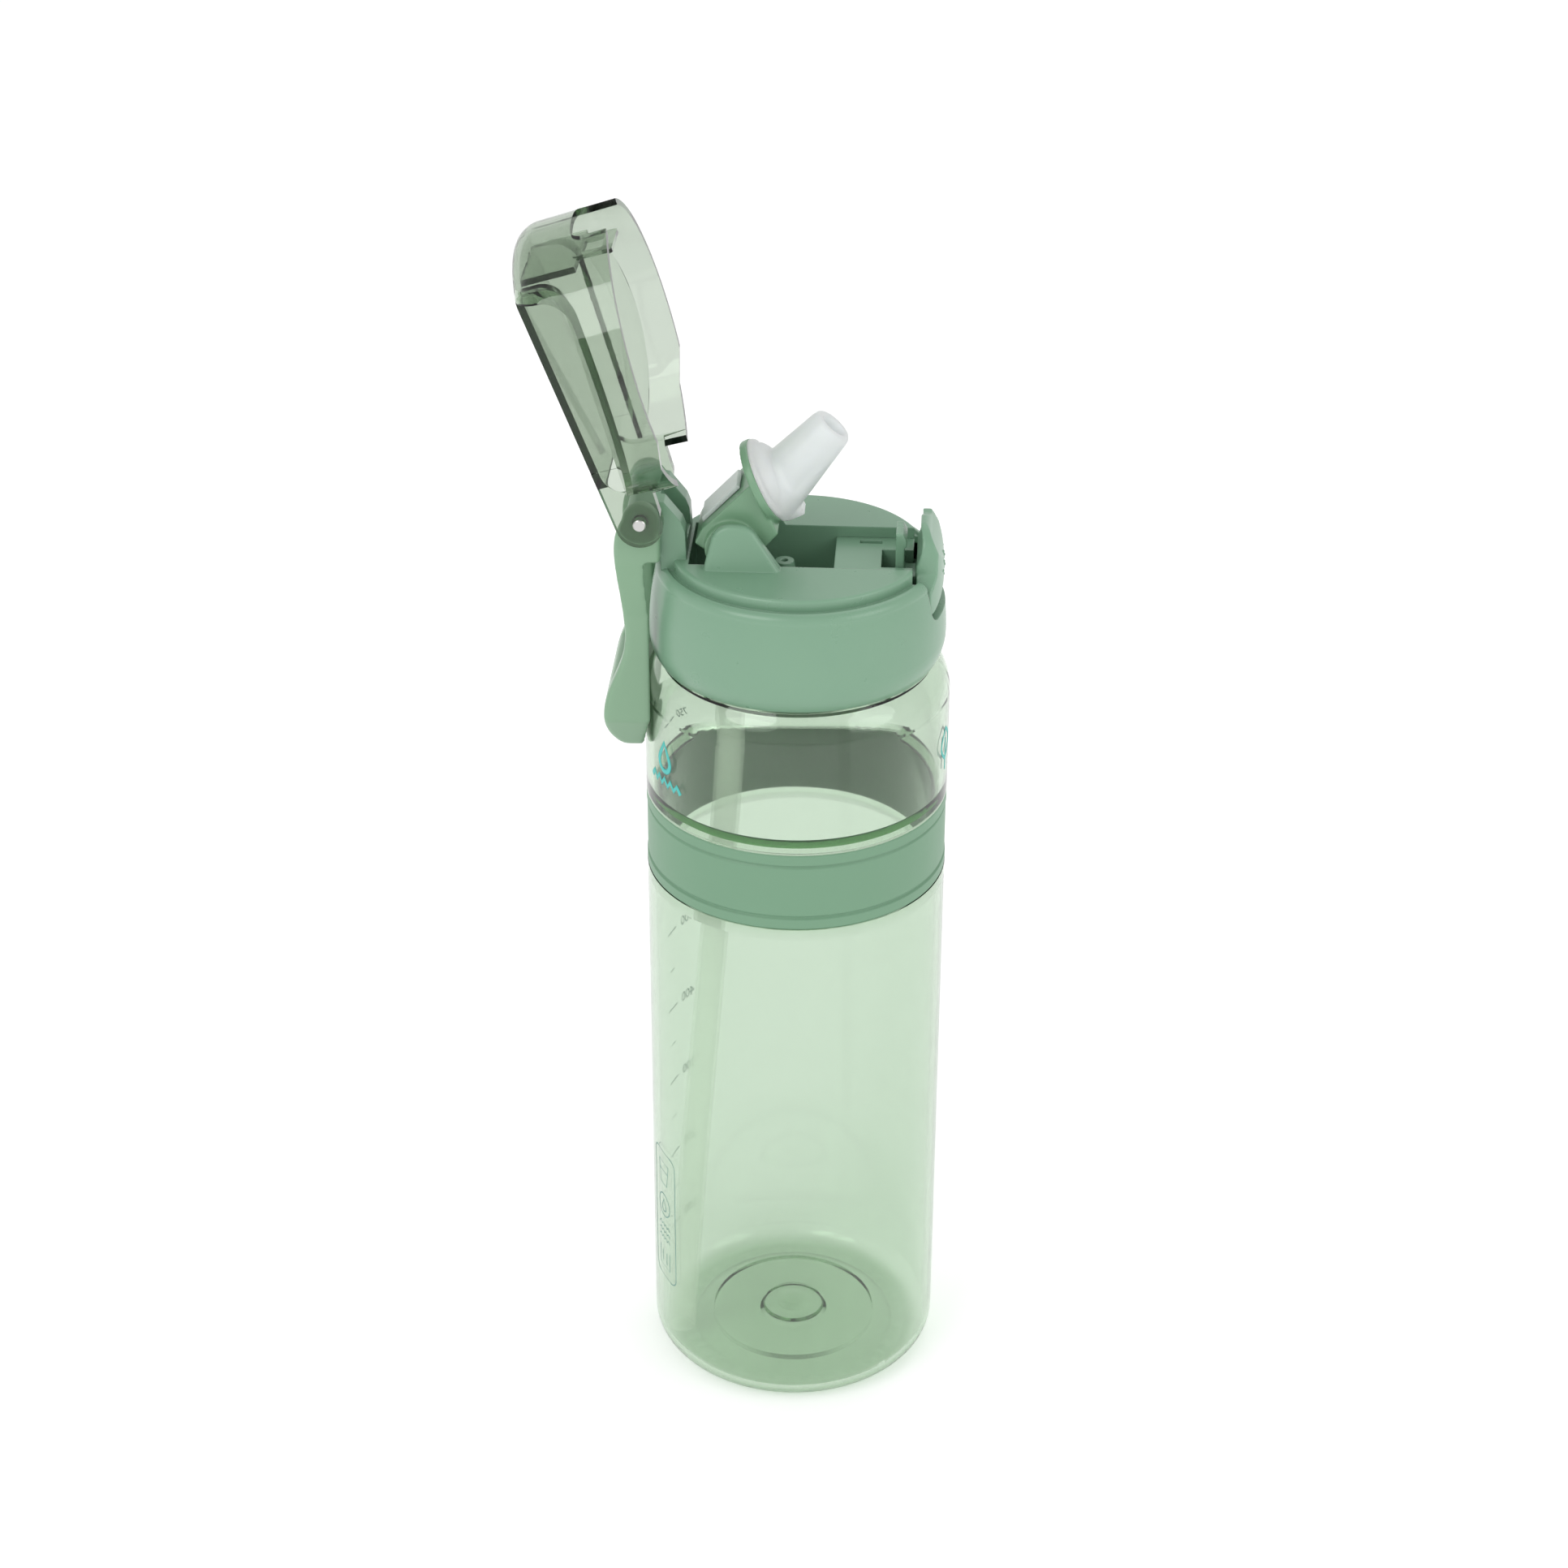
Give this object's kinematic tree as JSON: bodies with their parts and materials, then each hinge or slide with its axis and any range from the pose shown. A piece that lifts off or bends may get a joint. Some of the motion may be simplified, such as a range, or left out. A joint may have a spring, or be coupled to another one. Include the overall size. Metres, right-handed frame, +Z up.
{
  "type": "drinking bottle with flip-up straw spout",
  "caption": "Clear drinking bottle with a screw cap, hinged lid, fold-up straw spout, push latch, carry loop and a coloured band round its waist.",
  "frame": {"origin": "middle of the base, on the surface that the bottle stands on", "axes": "+Z up along the bottle, +X towards the latch, -X towards the hinge of the lid and the carry loop"},
  "size_m": [0.1074, 0.078, 0.3273],
  "materials": {
    "clear_body": "clear pale green copolyester, polished",
    "sage_band": "opaque sage green, satin",
    "sage_cap": "opaque sage green polypropylene, satin",
    "sage_spout": "opaque sage green polypropylene, satin",
    "sage_handle": "opaque sage green polypropylene, satin",
    "tinted_lid": "clear smoky green copolyester, polished",
    "clear_silicone": "translucent silicone, satin",
    "grey_silicone": "grey soft insert, satin",
    "seal_silicone": "white silicone",
    "milky_plastic": "milky translucent polyethylene",
    "steel": "stainless steel"
  },
  "bodies": {
    "bottle": {"bottle_body": "clear_body", "grip_band": "sage_band"},
    "gasket": {"neck_gasket": "seal_silicone"},
    "cap": {"cap_shell": "sage_cap", "cap_liner": "sage_cap", "straw_adapter": "milky_plastic", "straw": "milky_plastic", "vent_valve": "seal_silicone", "spout_seal": "seal_silicone", "hinge_pin": "steel", "latch_housing": "sage_cap", "latch_pin": "steel", "latch_spring": "steel"},
    "lid": {"lid": "tinted_lid"},
    "spout": {"spout_body": "sage_spout", "spout_mouthpiece": "clear_silicone", "spout_back_pad": "grey_silicone"},
    "handle": {"carry_handle": "sage_handle"},
    "latch": {"latch_lever": "sage_cap"}
  },
  "joints": [
    {"name": "cap_lift", "type": "slide", "parent": "bottle", "child": "gasket", "axis": [0, 0, 1], "range_m": [0, 0.006]},
    {"name": "cap_turn", "type": "hinge", "parent": "gasket", "child": "cap", "pos_m": [0, 0, 0.2228], "axis": [0, 0, 1], "range_deg": [0, 540]},
    {"name": "lid_hinge", "type": "hinge", "parent": "cap", "child": "lid", "pos_m": [-0.038, 0, 0.2538], "axis": [0, 1, 0], "range_deg": [0, 106.3]},
    {"name": "spout_fold", "type": "hinge", "parent": "cap", "child": "spout", "pos_m": [-0.016, 0, 0.2455], "axis": [0, 1, 0], "range_deg": [0, 44.1]},
    {"name": "handle_swing", "type": "hinge", "parent": "cap", "child": "handle", "pos_m": [-0.038, 0, 0.2538], "axis": [0, 1, 0], "range_deg": [0, 95]},
    {"name": "latch_press", "type": "hinge", "parent": "cap", "child": "latch", "pos_m": [0.0299, 0, 0.2303], "axis": [0, -1, 0], "range_deg": [-2, 4], "stiffness_Nm_per_rad": 0.6}
  ],
  "couplings": [
    {"joint": "cap_lift", "follows": "cap_turn", "m_per_rad": 0.00063662},
    {"joint": "spout_fold", "follows": "lid_hinge", "ratio": 0.41392}
  ]
}
